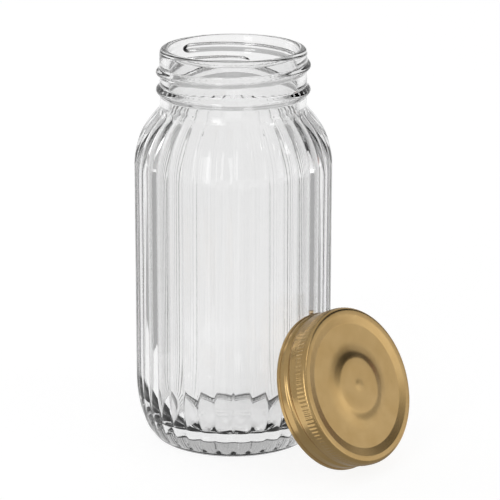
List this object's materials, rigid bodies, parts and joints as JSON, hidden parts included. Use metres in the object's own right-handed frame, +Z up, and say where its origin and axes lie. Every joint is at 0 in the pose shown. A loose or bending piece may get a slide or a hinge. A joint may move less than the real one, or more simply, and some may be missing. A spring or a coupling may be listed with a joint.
{
  "type": "mason jar",
  "caption": "Ribbed clear glass preserving jar with a screw-thread neck, and its gold one-piece screw lid leaning on its hem against the wall.",
  "frame": {"origin": "on the jar's axis, in the plane that the jar stands on", "axes": "+Z up along the jar's axis, out of the mouth; -Y is the jar's front; the lid leans in front and to the right, towards +X and -Y"},
  "size_m": [0.1251, 0.1216, 0.1823],
  "materials": {
    "clear_glass": "clear colourless soda-lime glass, pressed, glossy",
    "gold_lacquered_steel": "tinplate under a satin gold lacquer",
    "sealing_compound": "soft off-white sealing ring, matt"
  },
  "bodies": {
    "jar": {"glass_jar": "clear_glass"},
    "gasket": {"seal_ring": "sealing_compound"},
    "lid": {"screw_lid": "gold_lacquered_steel"}
  },
  "joints": [
    {"name": "lid_lift", "type": "slide", "parent": "jar", "child": "gasket", "axis": [0.7088, -0.5884, 0.3891], "range_m": [0, 0.08]},
    {"name": "lid_turn", "type": "hinge", "parent": "gasket", "child": "lid", "pos_m": [0.04421, -0.03905, 0.03287], "axis": [0.7088, -0.5884, 0.3891], "continuous": true}
  ]
}
